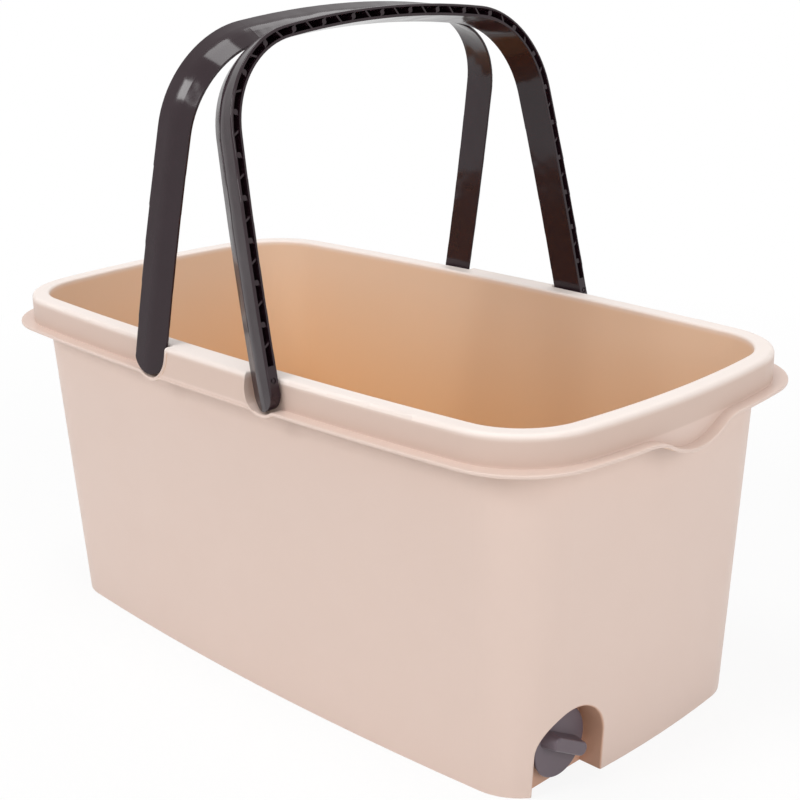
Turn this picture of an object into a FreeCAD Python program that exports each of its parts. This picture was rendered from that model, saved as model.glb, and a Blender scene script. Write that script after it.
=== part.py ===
import FreeCAD, Part
import math
import os
from FreeCAD import Vector

# A rectangular mop bucket with two folding handles and a screw-in drain plug.
# Millimetres. +Z is up, +X points to the drain end, and the origin is the middle of the base.

# Rim collar: the upright band round the top of the tub, at its outer face.
COLLAR_HALF_LENGTH = 230.4
COLLAR_HALF_WIDTH = 123.6
COLLAR_CORNER = 49.4
COLLAR_END_BOW = 568.0
COLLAR_SIDE_BOW = 2473.0
# Foot of the tub, at the floor it stands on.
FOOT_HALF_LENGTH = 209.2
FOOT_HALF_WIDTH = 105.1
FOOT_CORNER = 33.6
FOOT_END_BOW = 700.0
FOOT_SIDE_BOW = 2115.0
# Tub levels and walls.
TUB_HEIGHT = 207.0
WALL = 2.2
SKIN = 2.0
RIM_BAND = 10.8
RIM_OUTER_ROUND = 2.4
RIM_INNER_ROUND = 1.4
FLOOR_UNDERSIDE = 6.0
FLOOR_TOP = 8.6
CAVITY_FLOOR_ROUND = 12.0
FLOOR_RIB = 2.0
FLOOR_RIBS_X = (-120.0, -40.0, 40.0, 120.0)
FLOOR_RIBS_Y = (-35.0, 35.0)
# Flange: the ledge that runs round the foot of the collar, widest at the corners.
FLANGE_TOP = 190.1
FLANGE_REACH = 6.9
FLANGE_CORNER = 51.0
FLANGE_EDGE_ROUND = 0.7
# Finger notch: the dip of collar and flange in the middle of each end.
NOTCH_DEPTH = 10.0
NOTCH_HALF_WIDTH = 37.0
NOTCH_BOTTOM_ROUND = 44.0
# Handle pockets and the proud panel between them, in the middle of each long side.
PIVOT_X = 49.2
PIVOT_Z = 200.7
POCKET_RADIUS = 13.6
POCKET_LIP_ROUND = 5.0
PANEL_CORNER_ROUND = 1.2
PANEL_LEAN = 2.8
PANEL_TOP_ROUND = 2.6
PANEL_BEAD = 0.9
PANEL_BEAD_HEIGHT = 0.35
# Handles.
STRAP_HALF_WIDTH = 10.5
STRAP_GAP = 0.9
STRAP_THICK = 7.0
STRAP_THIN = 1.4
STRAP_BULGE = 1.4
STRAP_SKIN = 1.5
STRAP_ROUNDS = (0.4, 0.8, 24.0, 0.5, 0.4)
HANDLE_LEAN = 12.1
CHANNEL_START = 12.0
RIB_PITCH = 11.0
RIB_THICKNESS = 1.1
RIB_SLANT = 34.0
RIB_RECESS = 0.8
RIB_OVERLAP = 0.3
PIN_RADIUS = 1.5
NOSE_LENGTH = 1.6
NOSE_PIN_PLACE = 4.2
NOSE_PIN_RADIUS = 0.9
NOSE_RING_RADIUS = 1.7
NOSE_RING_DEPTH = 0.8
# Snap-in pivot studs.
STUD_RADIUS = 3.4
STUD_CLEARANCE = 0.08
STUD_REACH = 6.2
STUD_HEAD_RADIUS = 4.1
STUD_HEAD_LENGTH = 2.2
STUD_SLOT = 1.6
BEARING_RADIUS = 5.8
BEARING_DEPTH = 1.8
# Drain recess, an arch cut into the foot of the +X end, a little to one side of the drain.
DRAIN_Y = -62.0
DRAIN_Z = 23.6
ARCH_Y = -60.7
ARCH_RADIUS = 22.6
ARCH_EDGE_ROUND = 1.0
RECESS_BACK = 194.0
# Drain plug.
DISC_RADIUS = 20.3
DISC_BACK_RADIUS = 18.4
DISC_FACE = 199.6
DISC_THICKNESS = 3.8
WING_HALF_LENGTH = 17.0
WING_HALF_WIDTH = 5.0
WING_HEIGHT = 8.2
WING_DRAFT = 1.3
WING_TILT = -29.5
WING_END_ROUNDNESS = 0.98
WING_EDGE_ROUND = 1.2
DISC_EDGE_ROUND = 0.8
STEM_END = 182.6
STEM_CORE = 8.4
STEM_BORE = 5.8
THREAD_HEIGHT = 1.1
THREAD_PITCH = 4.0
THREAD_ROOT_SHARE = 0.3
THREAD_CREST_SHARE = 0.12
THREAD_OVERLAP = 0.3
THREAD_TURNS = 1.5
THREAD_CLEARANCE = 0.08
BOSS_RADIUS = 13.0
BOSS_END = 181.6
# Drain seal.
SEAL_OUTER = 16.5
SEAL_INNER = 10.2
SEAL_GROOVE = 0.5
SEAL_GAP = 0.05
SEAL_ROOM = 0.2

FAR = 400.0


class Outline:
    """A rounded rectangle whose sides bow gently outwards, as eight tangent arcs seen from above."""

    def __init__(self, half_length, half_width, corner, end_bow, side_bow):
        self.sizes = (half_length, half_width, corner, end_bow, side_bow)
        self.end_x = half_length - end_bow
        self.side_y = half_width - side_bow
        reach_end = end_bow - corner
        reach_side = side_bow - corner
        gap = math.hypot(self.end_x, self.side_y)
        along = (reach_end**2 - reach_side**2 + gap**2) / (2 * gap)
        across = math.sqrt(reach_end**2 - along**2)
        ux = -self.end_x / gap
        uy = self.side_y / gap
        self.corner_x = self.end_x + along * ux - across * uy
        self.corner_y = along * uy + across * ux
        self.end_angle = math.atan2(self.corner_y, self.corner_x - self.end_x)
        self.side_angle = math.atan2(self.corner_y - self.side_y, self.corner_x)

    def grown(self, distance):
        """The outline that lies the given distance outside this one."""
        return Outline(*[size + distance for size in self.sizes])

    def arcs(self):
        """Centre x and y, radius, first and last angle of each arc, counter-clockwise from the +X end."""
        corner, end_bow, side_bow = self.sizes[2:]
        half = math.pi
        end, side = self.end_angle, self.side_angle
        return [
            (self.end_x, 0.0, end_bow, -end, end),
            (self.corner_x, self.corner_y, corner, end, side),
            (0.0, self.side_y, side_bow, side, half - side),
            (-self.corner_x, self.corner_y, corner, half - side, half - end),
            (-self.end_x, 0.0, end_bow, half - end, half + end),
            (-self.corner_x, -self.corner_y, corner, half + end, half + side),
            (0.0, -self.side_y, side_bow, half + side, 2 * half - side),
            (self.corner_x, -self.corner_y, corner, 2 * half - side, 2 * half - end),
        ]

    def wire(self, z):
        """The closed outline at one height."""
        edges = []
        for x, y, radius, first, last in self.arcs():
            spots = []
            for angle in (first, (first + last) / 2, last):
                spots.append(Vector(x + radius * math.cos(angle), y + radius * math.sin(angle), z))
            edges.append(Part.Arc(*spots).toShape())
        return Part.Wire(edges)

    def side_at(self, x):
        """Half-width of the outline at a place along its length, on the long sides."""
        side_bow = self.sizes[4]
        return self.side_y + math.sqrt(side_bow**2 - x**2)


COLLAR = Outline(
    COLLAR_HALF_LENGTH, COLLAR_HALF_WIDTH, COLLAR_CORNER, COLLAR_END_BOW, COLLAR_SIDE_BOW
)
FOOT = Outline(FOOT_HALF_LENGTH, FOOT_HALF_WIDTH, FOOT_CORNER, FOOT_END_BOW, FOOT_SIDE_BOW)
FLANGE = Outline(
    COLLAR_HALF_LENGTH + FLANGE_REACH,
    COLLAR_HALF_WIDTH + FLANGE_REACH,
    FLANGE_CORNER,
    COLLAR_END_BOW + FLANGE_REACH,
    COLLAR_SIDE_BOW + FLANGE_REACH,
)


def box(low, high):
    """A block between two opposite corners."""
    size = [b - a for a, b in zip(low, high)]
    return Part.makeBox(*size, Vector(*low))


def rounded_wire(points, rounds, place):
    """A closed wire through flat points with rounded corners; place turns a flat point into a Vector."""
    count = len(points)
    tangents = []
    for i, (px, py) in enumerate(points):
        before = points[i - 1]
        after = points[(i + 1) % count]
        back = (before[0] - px, before[1] - py)
        ahead = (after[0] - px, after[1] - py)
        back_length = math.hypot(*back)
        ahead_length = math.hypot(*ahead)
        back = (back[0] / back_length, back[1] / back_length)
        ahead = (ahead[0] / ahead_length, ahead[1] / ahead_length)
        if not rounds[i]:
            tangents.append(((px, py), None, (px, py)))
            continue
        half = math.acos(back[0] * ahead[0] + back[1] * ahead[1]) / 2
        cut = rounds[i] / math.tan(half)
        depth = rounds[i] / math.sin(half) - rounds[i]
        middle = (back[0] + ahead[0], back[1] + ahead[1])
        length = math.hypot(*middle)
        crest = (px + middle[0] / length * depth, py + middle[1] / length * depth)
        start = (px + back[0] * cut, py + back[1] * cut)
        finish = (px + ahead[0] * cut, py + ahead[1] * cut)
        tangents.append((start, crest, finish))
    edges = []
    for i, (start, crest, finish) in enumerate(tangents):
        if crest:
            edges.append(Part.Arc(place(*start), place(*crest), place(*finish)).toShape())
        ahead = tangents[(i + 1) % count][0]
        if math.dist(finish, ahead) > 1e-6:
            edges.append(Part.LineSegment(place(*finish), place(*ahead)).toShape())
    return Part.Wire(edges)


def ring(outline, points, rounds, picks=range(8)):
    """Carries a section (distance outside the outline, height) along the chosen arcs of the outline."""
    pieces = []
    arcs = outline.arcs()
    for pick in picks:
        x, y, radius, first, last = arcs[pick]

        def place(distance, height):
            reach = radius + distance
            return Vector(x + reach * math.cos(first), y + reach * math.sin(first), height)

        face = Part.Face(rounded_wire(points, rounds, place))
        pieces.append(face.revolve(Vector(x, y, 0), Vector(0, 0, 1), math.degrees(last - first)))
    return pieces[0].multiFuse(pieces[1:]).removeSplitter()


def plain_ring(outline, inner, outer, low, high):
    """A ring of rectangular section between two distances outside the outline."""
    points = [(inner, low), (outer, low), (outer, high), (inner, high)]
    return ring(outline, points, [0] * 4)


def prism_y(wire):
    """Extrudes a wire drawn in the XZ plane over the whole width of the tub."""
    return Part.Face(wire).extrude(Vector(0, FAR, 0))


def on_both_sides(shape):
    """A shape and its mirror image on the other long side."""
    return [shape, shape.mirror(Vector(0, 0, 0), Vector(0, 1, 0))]


def on_both_ends(shape):
    """A shape and its mirror image at the other end."""
    return [shape, shape.mirror(Vector(0, 0, 0), Vector(1, 0, 0))]


# ---------------------------------------------------------------- tub


def body_outer():
    """The outside of the tub's walls, from the foot to the rim."""
    top = COLLAR.grown(WALL - RIM_BAND)
    return Part.makeLoft([FOOT.wire(0), top.wire(TUB_HEIGHT)], True, True)


def wall_lining():
    """The inside of the tub's walls, from the foot to the rim, with no floor."""
    top = COLLAR.grown(-RIM_BAND)
    return Part.makeLoft([FOOT.grown(-WALL).wire(0), top.wire(TUB_HEIGHT)], True, True)


def cavity(lining):
    """The room inside the tub, rounded where the walls meet the floor."""
    room = lining.common(box((-FAR, -FAR, FLOOR_TOP), (FAR, FAR, TUB_HEIGHT)))
    floor_edges = [edge for edge in room.Edges if edge.BoundBox.ZMax < FLOOR_TOP + 0.1]
    return room.makeFillet(CAVITY_FLOOR_ROUND, floor_edges)


def flange_profile(drop):
    """The region above the flange on the +X half: its level run, the dip under a pivot, the panel's side."""
    level = FLANGE_TOP - drop
    pocket = POCKET_RADIUS + drop
    lip = POCKET_LIP_ROUND - drop
    rise = PIVOT_Z - (level - lip)
    lip_x = PIVOT_X + math.sqrt((pocket + lip) ** 2 - rise**2)
    share = pocket / (pocket + lip)
    meet = (PIVOT_X + (lip_x - PIVOT_X) * share, PIVOT_Z - rise * share)
    corner = PANEL_CORNER_ROUND
    wall_x = PIVOT_X - pocket
    top = TUB_HEIGHT - drop
    half = math.radians(45)

    def at(x, z):
        return Vector(x, -FAR / 2, z)

    def line(a, b):
        return Part.LineSegment(at(*a), at(*b)).toShape()

    def arc(a, b, c):
        return Part.Arc(at(*a), at(*b), at(*c)).toShape()

    lip_turn = (math.pi / 2 + math.atan2(meet[1] - (level - lip), meet[0] - lip_x)) / 2
    lip_middle = (lip_x + lip * math.cos(lip_turn), level - lip + lip * math.sin(lip_turn))
    pocket_middle = (PIVOT_X - pocket * math.sin(half), PIVOT_Z - pocket * math.cos(half))
    round_end = (wall_x, top - corner)
    round_middle = (wall_x - corner * (1 - math.cos(half)), top - corner * (1 - math.sin(half)))
    round_start = (wall_x - corner, top)
    edges = [
        line((FAR, level), (lip_x, level)),
        arc((lip_x, level), lip_middle, meet),
        arc(meet, pocket_middle, (wall_x, PIVOT_Z)),
        line((wall_x, PIVOT_Z), round_end),
        arc(round_end, round_middle, round_start),
        line(round_start, (round_start[0], FAR)),
        line((round_start[0], FAR), (FAR, FAR)),
        line((FAR, FAR), (FAR, level)),
    ]
    return Part.Wire(edges)


def notch(drop):
    """The dip of the flange's surface at the +X end, as a solid that hangs below the flange's level."""
    level = FLANGE_TOP - drop
    reach = math.atan(NOTCH_DEPTH / NOTCH_HALF_WIDTH) * 2
    total = NOTCH_HALF_WIDTH / math.sin(reach)
    bottom = NOTCH_BOTTOM_ROUND + drop
    shoulder = total - bottom
    low = level - NOTCH_DEPTH
    meet = (bottom * math.sin(reach), low + bottom * (1 - math.cos(reach)))
    half = reach / 2
    rise = level - shoulder * (1 - math.cos(half))
    bend = NOTCH_HALF_WIDTH - shoulder * math.sin(half)

    def at(y, z):
        return Vector(FOOT_HALF_LENGTH - WALL, y, z)

    edges = [
        Part.Arc(at(-meet[0], meet[1]), at(0, low), at(*meet)).toShape(),
        Part.Arc(at(*meet), at(bend, rise), at(NOTCH_HALF_WIDTH, level)).toShape(),
        Part.LineSegment(at(NOTCH_HALF_WIDTH, level), at(NOTCH_HALF_WIDTH, level + 1)).toShape(),
        Part.LineSegment(at(NOTCH_HALF_WIDTH, level + 1), at(-NOTCH_HALF_WIDTH, level + 1)).toShape(),
        Part.LineSegment(at(-NOTCH_HALF_WIDTH, level + 1), at(-NOTCH_HALF_WIDTH, level)).toShape(),
        Part.Arc(at(-NOTCH_HALF_WIDTH, level), at(-bend, rise), at(-meet[0], meet[1])).toShape(),
    ]
    return Part.Face(Part.Wire(edges)).extrude(Vector(FAR, 0, 0))


def above_flange(drop):
    """All the space above the flange, dips included, lowered by the given drop."""
    parts = on_both_ends(prism_y(flange_profile(drop))) + on_both_ends(notch(drop))
    return parts[0].multiFuse(parts[1:]).removeSplitter()


def panel_face(depth):
    """Section, seen from the end, of the space behind a panel face that leans in towards the rim."""
    foot = COLLAR_HALF_WIDTH + FLANGE_REACH - depth
    inner = COLLAR_HALF_WIDTH - RIM_OUTER_ROUND - SKIN
    head = foot - PANEL_LEAN
    points = [(-inner, 0), (-foot, 0), (-foot, FLANGE_TOP), (-head, TUB_HEIGHT), (-inner, TUB_HEIGHT)]
    return rounded_wire(points, [0, 0, 0, PANEL_TOP_ROUND - depth, 0], lambda y, z: Vector(-FAR / 2, y, z))


def behind_panel(depth, low, high):
    """The space behind the front panel's face, at a depth from that face, from pivot to pivot."""
    space = Part.Face(panel_face(depth)).extrude(Vector(FAR, 0, 0))
    return space.common(box((-PIVOT_X, -FAR, low), (PIVOT_X, 0, high)))


def panel(above, below):
    """The proud hollow panel of the front long side, open below like the rim, with a fine bead round it."""
    low = FLANGE_TOP - SKIN
    solid = behind_panel(0, low, TUB_HEIGHT)
    beyond_collar = box((-FAR, -FAR, 0), (FAR, -COLLAR_HALF_WIDTH, FAR))
    hollow = behind_panel(SKIN, 0, TUB_HEIGHT - SKIN).common(beyond_collar)
    field = behind_panel(0, low + PANEL_BEAD, TUB_HEIGHT - PANEL_TOP_ROUND)
    field = field.cut(behind_panel(PANEL_BEAD_HEIGHT, 0, TUB_HEIGHT)).cut(above_flange(PANEL_BEAD))
    return solid.cut(hollow.cut(below)).cut(field).cut(above)


def slab(outline, low, high):
    """The whole area inside an outline, between two heights."""
    return Part.Face(outline.wire(low)).extrude(Vector(0, 0, high - low))


def flange_blank():
    """The full-height ring from which the flange is cut."""
    low = FLANGE_TOP - NOTCH_DEPTH - 2 * SKIN
    return slab(FLANGE, low, TUB_HEIGHT).cut(slab(COLLAR.grown(-SKIN), low - 1, TUB_HEIGHT + 1))


def lean_trim():
    """What stands outside the leaning panel and its bead, above flange level, on the front long side."""
    reach = PIVOT_X + POCKET_RADIUS
    outside = box((-reach, -FAR, FLANGE_TOP), (reach, -COLLAR_HALF_WIDTH, TUB_HEIGHT + 1))
    kept = Part.Face(panel_face(0)).extrude(Vector(FAR, 0, 0))
    return outside.cut(kept)


def rim():
    """The collar, top band and flange: an upside-down channel round the top of the tub."""
    inner = -RIM_BAND + WALL / 2
    bottom = TUB_HEIGHT - 2 * RIM_OUTER_ROUND
    under = TUB_HEIGHT - SKIN
    section = [(inner, under), (-SKIN, under), (-SKIN, bottom)]
    section += [(0, bottom), (0, TUB_HEIGHT), (inner, TUB_HEIGHT)]
    band = ring(COLLAR, section, [0, 0, 0, 0, RIM_OUTER_ROUND, 0])
    below = above_flange(SKIN)
    above = above_flange(0)
    skirt = plain_ring(COLLAR, -SKIN, 0, FLANGE_TOP - NOTCH_DEPTH - 2 * SKIN, bottom)
    middle = box((-PIVOT_X, -FAR, FLANGE_TOP - SKIN), (PIVOT_X, FAR, TUB_HEIGHT))
    skirt = skirt.common(below.fuse(middle))
    ledge = flange_blank().common(below).cut(above)
    for trim in on_both_sides(lean_trim()):
        ledge = ledge.cut(trim)
    panels = on_both_sides(panel(above, below))
    return band.fuse([skirt, ledge] + panels)


def arch(radius, near, far):
    """An arched tunnel along X round the drain, open below."""
    left = Vector(near, ARCH_Y - radius, DRAIN_Z)
    right = Vector(near, ARCH_Y + radius, DRAIN_Z)
    crown = Vector(near, ARCH_Y, DRAIN_Z + radius)
    low_left = Vector(near, ARCH_Y - radius, -1)
    low_right = Vector(near, ARCH_Y + radius, -1)
    edges = [
        Part.Arc(left, crown, right).toShape(),
        Part.LineSegment(right, low_right).toShape(),
        Part.LineSegment(low_right, low_left).toShape(),
        Part.LineSegment(low_left, left).toShape(),
    ]
    return Part.Face(Part.Wire(edges)).extrude(Vector(far - near, 0, 0))


def rod(radius, start, end, y=DRAIN_Y, z=DRAIN_Z):
    """A round bar along X."""
    return Part.makeCylinder(radius, end - start, Vector(start, y, z), Vector(1, 0, 0))


def drain_housing(outside):
    """The arched wall round the drain recess and the threaded boss behind it, before they are hollowed."""
    boss = rod(BOSS_RADIUS, BOSS_END, RECESS_BACK)
    tunnel = arch(ARCH_RADIUS + WALL, RECESS_BACK - WALL, FAR).common(outside)
    tunnel = tunnel.common(box((0, -FAR, 0), (FAR, FAR, FAR)))
    return tunnel.fuse(boss)


def drain_bore():
    """The hole of the drain, as wide as the crests of the plug's thread."""
    return rod(STEM_CORE + THREAD_HEIGHT + THREAD_CLEARANCE, BOSS_END - 1, RECESS_BACK + 1)


def underside(lining):
    """The hollow below the floor, with shallow stiffening ribs left standing in it."""
    hollow = lining.common(box((-FAR, -FAR, -1), (FAR, FAR, FLOOR_UNDERSIDE)))
    half = FLOOR_RIB / 2
    for x in FLOOR_RIBS_X:
        hollow = hollow.cut(box((x - half, -FAR, FLOOR_RIB), (x + half, FAR, FLOOR_UNDERSIDE)))
    for y in FLOOR_RIBS_Y:
        hollow = hollow.cut(box((-FAR, y - half, FLOOR_RIB), (FAR, y + half, FLOOR_UNDERSIDE)))
    return hollow


def bearing(grow, start, reach):
    """A round bar across the front right pivot, measured inwards from the collar's outer face."""
    face = -COLLAR.side_at(PIVOT_X)
    return Part.makeCylinder(grow, reach - start, Vector(PIVOT_X, face + start, PIVOT_Z), Vector(0, 1, 0))


def at_all_pivots(shape):
    """Copies of a front right shape at the four pivots."""
    return [copy for end in on_both_ends(shape) for copy in on_both_sides(end)]


def bare_tub():
    """The tub moulding with sharp edges."""
    outside = body_outer()
    lining = wall_lining()
    shell = outside.cut(cavity(lining)).cut(underside(lining))
    shell = shell.fuse(drain_housing(outside))
    shell = shell.cut(arch(ARCH_RADIUS, RECESS_BACK, FAR)).cut(drain_bore())
    bosses = at_all_pivots(bearing(BEARING_RADIUS, SKIN / 2, SKIN + BEARING_DEPTH))
    shell = shell.fuse([rim()] + bosses).removeSplitter()
    for hole in at_all_pivots(bearing(STUD_RADIUS + STUD_CLEARANCE, -1, SKIN + BEARING_DEPTH + 1)):
        shell = shell.cut(hole)
    return shell


def lies_on(edge, outline):
    """True if the middle of an edge lies on the upright wall over an outline."""
    middle = edge.valueAt((edge.FirstParameter + edge.LastParameter) / 2)
    for x, y, radius, first, last in outline.arcs():
        angle = (math.atan2(middle.y - y, middle.x - x) - first) % (2 * math.pi)
        if angle <= last - first and abs(math.hypot(middle.x - x, middle.y - y) - radius) < 0.05:
            return True
    return False


def rim_inner_edges(shape):
    """The edge between the rim's top and the inside of the tub."""
    inside = COLLAR.grown(-RIM_BAND)
    return [edge for edge in shape.Edges if edge.BoundBox.ZMin > TUB_HEIGHT - 0.1 and lies_on(edge, inside)]


def flange_edges(shape):
    """The outer edges of the flange beyond the pockets, where it stands free."""
    edges = []
    for edge in shape.Edges:
        bounds = edge.BoundBox
        beyond = min(abs(bounds.XMin), abs(bounds.XMax)) > PIVOT_X + STUD_RADIUS
        upright = bounds.XLength < 0.01 and bounds.YLength < 0.01
        if beyond and not upright and bounds.ZMin > FLANGE_TOP / 2 and lies_on(edge, FLANGE):
            edges.append(edge)
    return edges


def arch_edges(shape):
    """The edge of the drain recess on the outside of the tub."""
    edges = []
    for edge in shape.Edges:
        bounds = edge.BoundBox
        spans = bounds.YMin > ARCH_Y - ARCH_RADIUS - 0.1 and bounds.YMax < ARCH_Y + ARCH_RADIUS + 0.1
        outer = bounds.XMin > RECESS_BACK + 2 and bounds.ZMax < DRAIN_Z + ARCH_RADIUS + 1
        if spans and outer and edge.Length > 20 and edge.Curve.TypeId == "Part::GeomBSplineCurve":
            edges.append(edge)
    return edges


def tub():
    """The tub moulding, with its handled edges rounded."""
    shape = bare_tub()
    shape = shape.makeFillet(RIM_INNER_ROUND, rim_inner_edges(shape))
    shape = shape.makeFillet(ARCH_EDGE_ROUND, arch_edges(shape))
    return shape.makeFillet(FLANGE_EDGE_ROUND, flange_edges(shape))


# ---------------------------------------------------------------- handles


def strap_section(inner_skin, outer_skin, low, high):
    """The strap's section when folded: wide at the open lower edge, thin at the upper edge."""
    wide = STRAP_GAP + STRAP_THICK - outer_skin
    middle = STRAP_GAP + (STRAP_THICK + STRAP_THIN) / 2 + STRAP_BULGE - outer_skin
    thin = STRAP_GAP + STRAP_THIN
    inner = STRAP_GAP + inner_skin
    return [(inner, low), (wide, low), (middle, PIVOT_Z), (max(thin, inner + 1), high), (inner, high)]


HANDLE_ARCS = (6, 7, 0, 1, 2)


def strap(section, rounds, start):
    """A section carried round the +X end of the collar, as far along both long sides as the given place."""
    whole = ring(COLLAR, section, rounds, HANDLE_ARCS)
    return whole.common(box((start, -FAR, 0), (FAR, FAR, FAR)))


def handle_blank():
    """The solid strap with a round nose a little beyond its pivots."""
    section = strap_section(0, 0, PIVOT_Z - STRAP_HALF_WIDTH, PIVOT_Z + STRAP_HALF_WIDTH)
    middle = PIVOT_X - NOSE_LENGTH
    whole = strap(section, STRAP_ROUNDS, middle - STRAP_HALF_WIDTH - 1)
    back = box((0, -FAR, 0), (middle, FAR, FAR))
    nose = Part.makeCylinder(STRAP_HALF_WIDTH, 2 * FAR, Vector(middle, -FAR, PIVOT_Z), Vector(0, 1, 0))
    return whole.cut(back.cut(nose))


def channel(depth, overlap):
    """The open channel in the strap's wide edge; overlap makes it reach a little into the skins."""
    bottom = PIVOT_Z - STRAP_HALF_WIDTH
    skin = STRAP_SKIN - overlap
    section = strap_section(skin, skin, bottom + depth, PIVOT_Z + STRAP_HALF_WIDTH / 2)
    return strap(section, [0] * 5, PIVOT_X + CHANNEL_START)


def rib_places():
    """Places and headings of the ribs along the strap, evenly spaced from one channel end to the other."""
    path = COLLAR.grown(STRAP_GAP + STRAP_THICK / 2).arcs()
    runs = [path[pick] for pick in HANDLE_ARCS]
    start = PIVOT_X + CHANNEL_START
    x, y, radius, first, last = runs[0]
    runs[0] = (x, y, radius, 1.5 * math.pi + math.asin(start / radius), last)
    x, y, radius, first, last = runs[-1]
    runs[-1] = (x, y, radius, first, math.pi / 2 - math.asin(start / radius))
    total = sum(radius * (last - first) for x, y, radius, first, last in runs)
    count = round(total / RIB_PITCH)
    places = []
    for number in range(1, count):
        along = number * total / count
        for x, y, radius, first, last in runs:
            length = radius * (last - first)
            if along <= length:
                angle = first + along / radius
                places.append((x + radius * math.cos(angle), y + radius * math.sin(angle), angle))
                break
            along -= length
    return places


def ribs():
    """The zigzag ribs of the channel, every second one round an ejector pin."""
    low = PIVOT_Z - STRAP_HALF_WIDTH
    half = RIB_THICKNESS / 2
    plates = []
    for number, (x, y, angle) in enumerate(rib_places()):
        slant = RIB_SLANT if number % 2 else -RIB_SLANT
        plate = box((-STRAP_THICK, -half, low), (STRAP_THICK, half, PIVOT_Z + STRAP_HALF_WIDTH))
        plate.rotate(Vector(0, 0, 0), Vector(0, 0, 1), math.degrees(angle) + slant)
        plate.translate(Vector(x, y, 0))
        plates.append(plate)
        if number % 2:
            plates.append(Part.makeCylinder(PIN_RADIUS, 2 * STRAP_HALF_WIDTH, Vector(x, y, low)))
    return plates[0].multiFuse(plates[1:]).common(channel(RIB_RECESS, RIB_OVERLAP))


def studs():
    """The two snap studs, each slotted so that its head springs through the bearing."""
    face = STRAP_GAP + STRAP_THIN / 2
    shaft = bearing(STUD_RADIUS, -face, STUD_REACH)
    head = bearing(STUD_HEAD_RADIUS, STUD_REACH - STUD_HEAD_LENGTH, STUD_REACH)
    front = -COLLAR.side_at(PIVOT_X)
    half = STUD_SLOT / 2
    tip = STUD_HEAD_RADIUS + 1
    low = (PIVOT_X - half, front, PIVOT_Z - tip)
    slot = box(low, (PIVOT_X + half, front + STUD_REACH + 1, PIVOT_Z + tip))
    return on_both_sides(shaft.fuse(head).cut(slot))


def nose_rings():
    """The ring-shaped dimples that surround an ejector pin on each nose, in the strap's open edge."""
    x = PIVOT_X + NOSE_PIN_PLACE
    y = -COLLAR.side_at(x) - STRAP_GAP - STRAP_THICK / 2
    edge = PIVOT_Z - STRAP_HALF_WIDTH
    dimple = Part.makeCylinder(NOSE_RING_RADIUS, 2 * NOSE_RING_DEPTH, Vector(x, y, edge - NOSE_RING_DEPTH))
    pin = Part.makeCylinder(NOSE_PIN_RADIUS, 4 * NOSE_RING_DEPTH, Vector(x, y, edge - 2 * NOSE_RING_DEPTH))
    return on_both_sides(dimple.cut(pin))


def folded_handle():
    """The +X handle as it lies on the flange."""
    shape = handle_blank().cut(channel(-1, 0)).cut(nose_rings()).fuse([ribs()] + studs())
    return shape.removeSplitter()


def right_handle():
    """The +X handle standing up, leaning in until it nearly meets the other one."""
    shape = folded_handle()
    shape.rotate(Vector(PIVOT_X, 0, PIVOT_Z), Vector(0, 1, 0), -90 - HANDLE_LEAN)
    return shape


def left_handle():
    """The -X handle, a mirror image of the other one."""
    return right_handle().mirror(Vector(0, 0, 0), Vector(1, 0, 0))


# ---------------------------------------------------------------- drain plug


def thread():
    """The right-hand helical ridge on the plug's stem."""
    root = STEM_CORE - THREAD_OVERLAP
    crest = STEM_CORE + THREAD_HEIGHT
    half_root = THREAD_PITCH * THREAD_ROOT_SHARE
    half_crest = THREAD_PITCH * THREAD_CREST_SHARE
    spine = Part.makeHelix(THREAD_PITCH, THREAD_PITCH * THREAD_TURNS, STEM_CORE)
    corners = [(root, -half_root), (crest, -half_crest), (crest, half_crest), (root, half_root)]
    section = Part.makePolygon([Vector(x, 0, z) for x, z in corners + corners[:1]])
    ridge = Part.Wire(spine.Edges).makePipeShell([section], True, True)
    ridge.rotate(Vector(0, 0, 0), Vector(0, 1, 0), 90)
    ridge.translate(Vector(STEM_END + THREAD_PITCH, DRAIN_Y, DRAIN_Z))
    return ridge


def wing_wire(x, shrink):
    """Outline of the plug's wing grip at one distance along X: a bar with round ends."""
    half = WING_HALF_WIDTH - shrink
    reach = WING_HALF_LENGTH - 2 * shrink - half
    points = [(-reach - half, -half), (reach + half, -half), (reach + half, half), (-reach - half, half)]
    rounds = [half * WING_END_ROUNDNESS] * 4
    return rounded_wire(points, rounds, lambda y, z: Vector(x, DRAIN_Y + y, DRAIN_Z + z))


def wing():
    """The wing grip, drafted and turned to the angle at which the plug is tight."""
    top = DISC_FACE + WING_HEIGHT
    grip = Part.makeLoft([wing_wire(DISC_FACE - 1, 0), wing_wire(top, WING_DRAFT)], True, True)
    edges = [edge for edge in grip.Edges if edge.BoundBox.XMin > top - 0.1]
    grip = grip.makeFillet(WING_EDGE_ROUND, edges)
    grip.rotate(Vector(0, DRAIN_Y, DRAIN_Z), Vector(1, 0, 0), WING_TILT)
    return grip


def drain_knob():
    """The plug: a disc with a wing grip on its face and a hollow threaded stem behind it."""
    back = DISC_FACE - DISC_THICKNESS
    disc = Part.makeCone(
        DISC_BACK_RADIUS, DISC_RADIUS, DISC_THICKNESS, Vector(back, DRAIN_Y, DRAIN_Z), Vector(1, 0, 0)
    )
    front_edge = [edge for edge in disc.Edges if edge.BoundBox.XMin > DISC_FACE - 0.1]
    disc = disc.makeFillet(DISC_EDGE_ROUND, front_edge)
    groove = rod(SEAL_OUTER + SEAL_ROOM, back - 1, back + SEAL_GROOVE)
    groove = groove.cut(rod(SEAL_INNER - SEAL_ROOM, back - 1, DISC_FACE))
    stem = rod(STEM_CORE, STEM_END, back + 1)
    hollow = rod(STEM_BORE, STEM_END - 1, back)
    return disc.cut(groove).fuse([stem, thread(), wing()]).cut(hollow)


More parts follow.
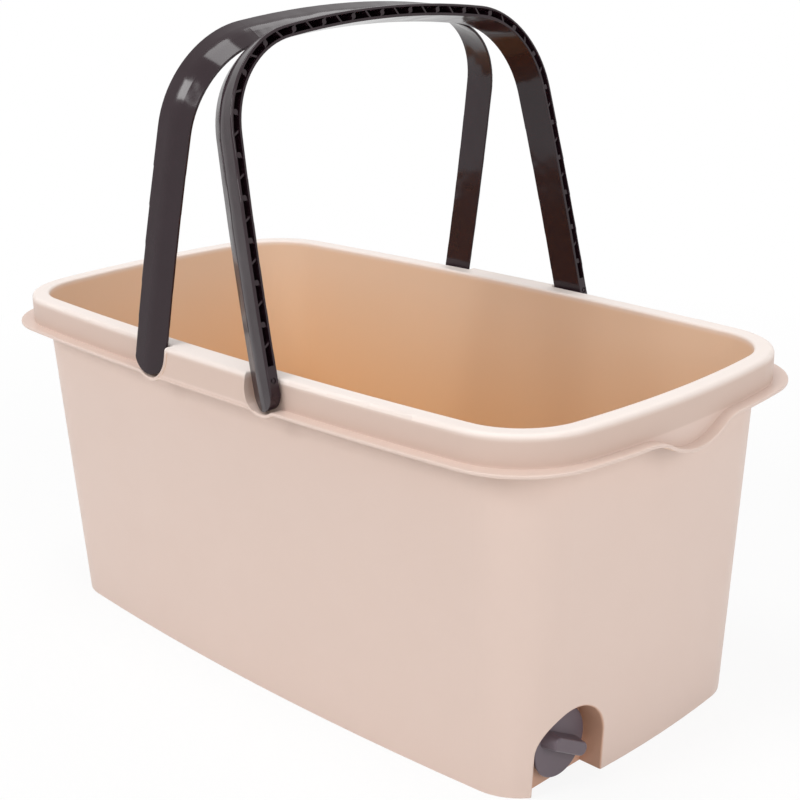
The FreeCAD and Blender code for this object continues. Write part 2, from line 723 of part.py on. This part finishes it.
def drain_seal():
    """The rubber washer between the disc and the back of the recess."""
    start = RECESS_BACK + SEAL_GAP
    finish = DISC_FACE - DISC_THICKNESS + SEAL_GROOVE - SEAL_GAP
    return rod(SEAL_OUTER, start, finish).cut(rod(SEAL_INNER, start - 1, finish + 1))


PARTS = {
    "tub": tub,
    "left_handle": left_handle,
    "right_handle": right_handle,
    "drain_knob": drain_knob,
    "drain_seal": drain_seal,
}

os.makedirs("parts", exist_ok=True)
for name, make in PARTS.items():
    part = make()
    state = "valid" if part.isValid() else "NOT VALID"
    print(name, state, len(part.Solids), "solid", round(part.Volume), "mm3")
    part.exportStep(f"parts/{name}.step")
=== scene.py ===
# %% [markdown]
# # A mop bucket with folding handles
# The bucket is five pieces: a tub, two strap handles that stand together, and a drain plug with its rubber washer.
# Their shapes are already made to size, so this lesson is about everything that makes them look real: the view, the
# light, and four moulded finishes that are worked out by nodes.

# %% The frame: the pieces at their real size
import math

import bpy
from mathutils import Matrix, Vector


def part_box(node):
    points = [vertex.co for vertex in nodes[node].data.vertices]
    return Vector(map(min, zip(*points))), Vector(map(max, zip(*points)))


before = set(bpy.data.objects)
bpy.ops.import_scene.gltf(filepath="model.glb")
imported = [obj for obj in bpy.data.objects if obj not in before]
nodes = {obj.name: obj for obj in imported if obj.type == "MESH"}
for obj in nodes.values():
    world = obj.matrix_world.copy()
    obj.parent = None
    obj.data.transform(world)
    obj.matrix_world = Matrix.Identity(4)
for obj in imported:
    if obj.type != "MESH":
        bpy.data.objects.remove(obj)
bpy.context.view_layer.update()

scene = bpy.context.scene
print("pieces:", sorted(nodes))

# %% [markdown]
# ## The camera
# The bucket is looked at from its front corner, a little from above, with a long lens, so that its sides stay nearly
# parallel. A camera in Blender looks along its own -Z. Its three axes are worked out here from the angles, which is
# easier to correct than a typed rotation.

# %% The camera
AZIMUTH = math.radians(45.79)
ELEVATION = math.radians(18.21)
ROLL = math.radians(-1.21)
TARGET = Vector((-0.0071, 0.0280, 0.1440))
DISTANCE = 0.9666
LENS = 69.20


def camera_axes(azimuth, elevation, roll):
    """The camera's right, up and backward directions."""
    level = math.cos(elevation)
    back = Vector((math.sin(azimuth) * level, -math.cos(azimuth) * level, math.sin(elevation)))
    right = Vector((math.cos(azimuth), math.sin(azimuth), 0))
    up = back.cross(right)
    turned_right = right * math.cos(roll) + up * math.sin(roll)
    turned_up = up * math.cos(roll) - right * math.sin(roll)
    return turned_right, turned_up, back


def add_camera():
    """The camera, placed and turned in one matrix."""
    camera = bpy.data.objects.new("camera", bpy.data.cameras.new("camera"))
    scene.collection.objects.link(camera)
    right, up, back = camera_axes(AZIMUTH, ELEVATION, ROLL)
    turn = Matrix((right, up, back)).transposed().to_4x4()
    camera.matrix_world = Matrix.Translation(TARGET + back * DISTANCE) @ turn
    camera.data.lens = LENS
    scene.camera = camera
    return camera


camera = add_camera()
print("camera at", tuple(round(v, 3) for v in camera.matrix_world.translation))

# %% [markdown]
# ## Writing finishes as sums
# A finish is a small graph of nodes. Wiring dozens of nodes by hand is hard to read, so two small classes do it. A
# `Grade` wraps one output socket, and adding or multiplying grades adds the Math nodes. A `Finish` is one material,
# and its `node` method makes any other node from its type, its settings and what its sockets take.

# %% Grades and finishes
class Grade:
    """A number, or a colour, that varies over a surface."""

    def __init__(self, finish, socket):
        self.finish = finish
        self.socket = socket

    def sum_node(self, operation, first, second):
        return self.finish.node("ShaderNodeMath", {"operation": operation}, {0: first, 1: second})

    def __add__(self, other):
        return self.sum_node("ADD", self, other)

    def __sub__(self, other):
        return self.sum_node("SUBTRACT", self, other)

    def __mul__(self, other):
        return self.sum_node("MULTIPLY", self, other)

    __radd__ = __add__
    __rmul__ = __mul__


class Finish:
    """One material, built up from nodes."""

    def __init__(self, name):
        self.material = bpy.data.materials.new(name)
        self.material.use_nodes = True
        self.tree = self.material.node_tree
        self.tree.nodes.clear()

    def node(self, kind, settings=None, sockets=None, output=0):
        """Adds a node, sets it up, feeds its sockets, and gives back one of its outputs."""
        node = self.tree.nodes.new(kind)
        for key, value in (settings or {}).items():
            if key == "stops":
                self.set_stops(node.color_ramp, value)
            else:
                setattr(node, key, value)
        for key, value in (sockets or {}).items():
            self.feed(node.inputs[key], value)
        return Grade(self, node.outputs[output]) if node.outputs else None

    def feed(self, socket, value):
        """Links a grade to a socket, or sets a plain value on it."""
        if isinstance(value, Grade):
            self.tree.links.new(value.socket, socket)
        else:
            socket.default_value = value

    def set_stops(self, ramp, stops):
        """Gives a ramp its stops: pairs of a place and a grey level."""
        while len(ramp.elements) < len(stops):
            ramp.elements.new(0.5)
        for element, (place, level) in zip(ramp.elements, stops):
            element.position = place
            element.color = (level, level, level, 1)

    def place(self):
        """Where each point lies on its own piece, in metres."""
        return self.node("ShaderNodeTexCoord", output="Object")

    def noise(self, scale, detail=2.0):
        """A cloudy pattern of the given fineness, from 0 to 1."""
        return self.node("ShaderNodeTexNoise", {}, {"Vector": self.place(), "Scale": scale, "Detail": detail})

    def along(self, axis):
        """How far each point lies along X, Y or Z, in metres."""
        return self.node("ShaderNodeSeparateXYZ", {}, {0: self.place()}, output=axis)

    def height(self):
        """How high each point is, in metres."""
        return self.along("Z")

    def facing(self, spot):
        """Above zero where the surface faces a spot, below zero where it faces away from it."""
        towards = self.node("ShaderNodeVectorMath", {"operation": "SUBTRACT"}, {0: spot, 1: self.place()})
        normal = self.node("ShaderNodeNewGeometry", output="Normal")
        return self.node("ShaderNodeVectorMath", {"operation": "DOT_PRODUCT"}, {0: towards, 1: normal}, "Value")

    def ramp(self, grade, *stops):
        """Redraws a grade by stops."""
        return self.node("ShaderNodeValToRGB", {"stops": stops}, {"Fac": grade})

    def blend(self, factor, first, second):
        """A colour between two others."""
        return self.node("ShaderNodeMix", {"data_type": "RGBA"}, {0: factor, 6: first, 7: second}, output=2)

    def bump(self, height, distance, strength=1.0, under=None):
        """Turns a height into a tilted surface."""
        sockets = {"Height": height, "Distance": distance, "Strength": strength}
        if under:
            sockets["Normal"] = under
        return self.node("ShaderNodeBump", {}, sockets)

    def surface(self, **sockets):
        """The final shader of the finish."""
        named = {key.replace("_", " "): value for key, value in sockets.items()}
        shader = self.node("ShaderNodeBsdfPrincipled", {}, named)
        self.node("ShaderNodeOutputMaterial", {}, {"Surface": shader})
        return self.material


def srgb(red, green, blue):
    """A colour as it is seen, 0 to 255, as the linear colour that shaders use."""
    values = []
    for level in (red, green, blue):
        share = level / 255
        values.append(share / 12.92 if share <= 0.04045 else ((share + 0.055) / 1.055) ** 2.4)
    return (*values, 1.0)


print("finish tools ready")

# %% [markdown]
# ## The tub's plastic
# The tub is injection-moulded polypropylene, pale beige and satin. The colour drifts a little from place to place, and
# a fine grain breaks up the shine. Light that is caught inside the tub bounces from wall to wall and passes a little
# way into the plastic each time, so that light is painted into the inside as a warmer colour than the outside, most of
# all low down. The top of the rim is painted palest as painted light from above, the collar just under it a shade
# deeper as painted shade, and the drain recess deeper still as painted shade.

# %% The tub's plastic
TUB_PALE = srgb(225, 203, 192)
TUB_DEEP = srgb(220, 197, 185)
# Painted shade: the collar under the rim is painted a shade deeper.
TUB_COLLAR_SHADE = srgb(209, 185, 172)
# Painted light: the top of the rim is painted palest, as if lit from above.
TUB_RIM_LIGHT = srgb(244, 232, 225)
# Painted bounce light: the inside is painted warmer than the outside, most of all low down.
TUB_INSIDE_BOUNCE_LIGHT_HIGH = srgb(233, 204, 177)
TUB_INSIDE_BOUNCE_LIGHT_LOW = srgb(230, 182, 120)
# Painted shade: the drain recess is painted deeper than the walls round it.
TUB_RECESS_SHADE = srgb(207, 163, 138)
TUB_MIDDLE = (0, 0, 0.12)
COLLAR_START, COLLAR_FULL = 0.1904, 0.1915
RIM_START, RIM_FULL = 0.2030, 0.2065
ARCH_Y = -0.0607
ARCH_Z = 0.0236
RECESS_START, RECESS_FULL = 0.1750, 0.1875
RAMP_SCALE = 4.0


def rises(finish, distance, start, full):
    """From 0 at one place to 1 at another, both in metres, scaled up because a ramp runs from 0 to 1."""
    return finish.ramp(distance * RAMP_SCALE, (start * RAMP_SCALE, 0.0), (full * RAMP_SCALE, 1.0))


def in_drain_recess(finish):
    """One in the arched recess round the drain, and zero on the rest of the tub."""
    across = finish.along("Y") - ARCH_Y
    rise = finish.height() - ARCH_Z
    above = rise.sum_node("MAXIMUM", rise, 0.0)
    reach = across * across + above * above
    inside = finish.ramp(reach * 1000.0, (0.515, 1.0), (0.56, 0.0))
    return inside * rises(finish, finish.along("X"), RECESS_START, RECESS_FULL)


def tub_plastic():
    """Satin beige polypropylene with a fine grain, painted bounce light inside, painted light on the rim's top, and
    painted shade on the collar and in the drain recess.
    """
    finish = Finish("tub_plastic")
    drift = finish.noise(6.0, 3.0)
    cloud = finish.noise(38.0, 4.0)
    grain = finish.noise(2600.0, 2.0)
    wall = finish.blend(drift * 0.7 + cloud * 0.3, TUB_PALE, TUB_DEEP)
    # Painted shade: the collar under the rim blends to a deeper colour.
    collar_shade = rises(finish, finish.height(), COLLAR_START, COLLAR_FULL)
    outside = finish.blend(collar_shade * 0.9, wall, TUB_COLLAR_SHADE)
    # Painted bounce light: the inside walls and floor are painted warmer towards the bottom.
    depth = finish.ramp(finish.height() * 5.0 + (drift - 0.5) * 0.1, (0.1, 1.0), (0.95, 0.0))
    inside = finish.blend(depth, TUB_INSIDE_BOUNCE_LIGHT_HIGH, TUB_INSIDE_BOUNCE_LIGHT_LOW)
    room = finish.ramp(finish.facing(TUB_MIDDLE) * 20.0, (0.0, 0.0), (0.5, 1.0))
    # Painted light: the top of the rim blends to its palest colour, as if lit from above.
    top = rises(finish, finish.height(), RIM_START, RIM_FULL)
    # Painted shade: the drain recess takes a deeper colour over the outside and inside colours.
    walls = finish.blend(in_drain_recess(finish), finish.blend(room, outside, inside), TUB_RECESS_SHADE)
    colour = finish.blend(top, walls, TUB_RIM_LIGHT)
    rough = 0.42 + (cloud - 0.5) * 0.12
    normal = finish.bump(cloud, 0.00012, 0.6, finish.bump(grain, 0.00002))
    return finish.surface(Base_Color=colour, Roughness=rough, Normal=normal, IOR=1.46)


# %% [markdown]
# ## The handles' plastic
# The handles are nearly black brown, smooth and glossy, so that the soft boxes show on them as long highlights. A slow
# waviness bends those highlights as on a real moulding, and they are a little duller where hands rub.

# %% The handles' plastic
HANDLE_BROWN = srgb(37, 20, 26)
HANDLE_WORN = srgb(44, 28, 35)


def handle_plastic():
    """Glossy dark brown polypropylene."""
    finish = Finish("handle_plastic")
    cloud = finish.noise(45.0, 3.0)
    wave = finish.noise(34.0, 2.0)
    colour = finish.blend(cloud, HANDLE_BROWN, HANDLE_WORN)
    rough = 0.12 + (cloud - 0.5) * 0.08
    return finish.surface(Base_Color=colour, Roughness=rough, Normal=finish.bump(wave, 0.0012, 0.8), IOR=1.42)


# %% [markdown]
# ## The drain plug's plastic and the washer's rubber
# The plug is a satin plastic, a lighter mauve brown than the handles and rougher. The washer behind it is soft black
# rubber.

# %% The plug and the washer
def knob_plastic():
    """Satin mauve-brown plastic with a fine moulded grain."""
    finish = Finish("knob_plastic")
    cloud = finish.noise(70.0, 3.0)
    grain = finish.noise(1800.0, 3.0)
    colour = finish.blend(cloud, srgb(92, 79, 87), srgb(101, 88, 96))
    rough = 0.44 + (cloud - 0.5) * 0.12
    return finish.surface(Base_Color=colour, Roughness=rough, Normal=finish.bump(grain, 0.00003), IOR=1.49)


def seal_rubber():
    """Dull black rubber with a powdery bloom."""
    finish = Finish("seal_rubber")
    bloom = finish.noise(300.0, 4.0)
    colour = finish.blend(bloom, srgb(28, 27, 27), srgb(48, 46, 45))
    return finish.surface(Base_Color=colour, Roughness=0.62 + bloom * 0.2, Normal=finish.bump(bloom, 0.00005))


# %% [markdown]
# ## Dressing the pieces
# Each piece is one moulding, so it takes one material all over. The two handles share theirs.

# %% Each piece takes its finish
FINISHES = {
    "tub": tub_plastic(),
    "left_handle": handle_plastic(),
    "drain_knob": knob_plastic(),
    "drain_seal": seal_rubber(),
}
FINISHES["right_handle"] = FINISHES["left_handle"]


def dress(name, material):
    """Gives a piece one material all over."""
    mesh = nodes[name].data
    mesh.materials.clear()
    mesh.materials.append(material)


for name, material in FINISHES.items():
    dress(name, material)
    print(name, "is finished in", material.name)

# %% [markdown]
# ## The floor and the background
# The bucket stands on a plain white floor. Where the floor is seen, directly or in a reflection, part of its paint
# gives way to an even white, near the bucket less than far away, which keeps the bucket's soft shadow but makes it
# faint. The world is white where it is seen, too, and weaker as a light, so neither of them throws extra light on the
# bucket.

# %% The floor and the world
FLOOR_SIZE = 12.0
EVEN_WHITE_NEAR = 0.88
SEEN_RAYS = ("Is Camera Ray", "Is Glossy Ray", "Is Transmission Ray")


def floor_paint():
    """Very pale matt paint with a faint unevenness, mostly even white where it is seen."""
    finish = Finish("floor_paint")
    cloud = finish.noise(1.5, 3.0)
    colour = finish.blend(cloud, srgb(250, 250, 250), srgb(247, 247, 246))
    paint = finish.node("ShaderNodeBsdfDiffuse", {}, {"Color": colour})
    white = finish.node("ShaderNodeEmission", {}, {"Color": (1, 1, 1, 1), "Strength": 1.0})
    camera_ray, glossy_ray, clear_ray = (finish.node("ShaderNodeLightPath", output=ray) for ray in SEEN_RAYS)
    seen = camera_ray + glossy_ray + clear_ray
    distance = finish.node("ShaderNodeVectorMath", {"operation": "LENGTH"}, {0: finish.place()}, "Value")
    share = finish.ramp(distance, (0.4, EVEN_WHITE_NEAR), (0.9, 1.0))
    mixed = finish.node("ShaderNodeMixShader", {}, {0: seen * share, 1: paint, 2: white})
    finish.node("ShaderNodeOutputMaterial", {}, {"Surface": mixed})
    return finish.material


def add_floor():
    """One large square under the bucket."""
    half = FLOOR_SIZE / 2
    mesh = bpy.data.meshes.new("floor")
    mesh.from_pydata([(-half, -half, 0), (half, -half, 0), (half, half, 0), (-half, half, 0)], [], [(0, 1, 2, 3)])
    floor = bpy.data.objects.new("floor", mesh)
    mesh.materials.append(floor_paint())
    scene.collection.objects.link(floor)
    floor.location.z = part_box("tub")[0].z - 0.0002


def add_world(strength):
    """White where it is seen directly or in a reflection, and a soft light everywhere else."""
    world = bpy.data.worlds.new("studio")
    world.use_nodes = True
    scene.world = world
    tree = world.node_tree
    tree.nodes.clear()
    path = tree.nodes.new("ShaderNodeLightPath")
    soft = tree.nodes.new("ShaderNodeBackground")
    soft.inputs["Color"].default_value = (1, 1, 1, 1)
    soft.inputs["Strength"].default_value = strength
    shown = soft.outputs[0]
    for ray in SEEN_RAYS:
        white = tree.nodes.new("ShaderNodeBackground")
        white.inputs["Color"].default_value = (1, 1, 1, 1)
        mix = tree.nodes.new("ShaderNodeMixShader")
        tree.links.new(path.outputs[ray], mix.inputs[0])
        tree.links.new(shown, mix.inputs[1])
        tree.links.new(white.outputs[0], mix.inputs[2])
        shown = mix.outputs[0]
    output = tree.nodes.new("ShaderNodeOutputWorld")
    tree.links.new(shown, output.inputs[0])


add_floor()
add_world(0.45)
print("floor and world ready")

# %% [markdown]
# ## The lamps
# Soft boxes light the bucket as in a product studio: one high in front and one overhead, which both show as highlights
# on the bends of the handles, a weaker one on the right, and a small one that keeps the back from going dull.

# %% The lamps
def add_lamp(name, place, aim, size, watts):
    """A square soft box that faces a point."""
    light = bpy.data.lights.new(name, "AREA")
    light.size = size
    light.energy = watts
    lamp = bpy.data.objects.new(name, light)
    scene.collection.objects.link(lamp)
    lamp.location = place
    lamp.rotation_euler = (Vector(aim) - Vector(place)).to_track_quat("-Z", "Y").to_euler()


MIDDLE = (0, 0, 0.2)
add_lamp("key", (-0.4, -1.75, 1.35), MIDDLE, 0.7, 14)
add_lamp("fill", (1.9, -0.3, 1.0), MIDDLE, 1.0, 12)
add_lamp("top", (-0.05, -0.35, 2.1), MIDDLE, 0.8, 10)
add_lamp("back", (-0.4, 1.25, 1.9), MIDDLE, 0.8, 5)

# %% [markdown]
# ## Colour management
# The Standard view shows colours as they are worked out, so white stays white.

# %% Colour management
scene.view_settings.view_transform = "Standard"
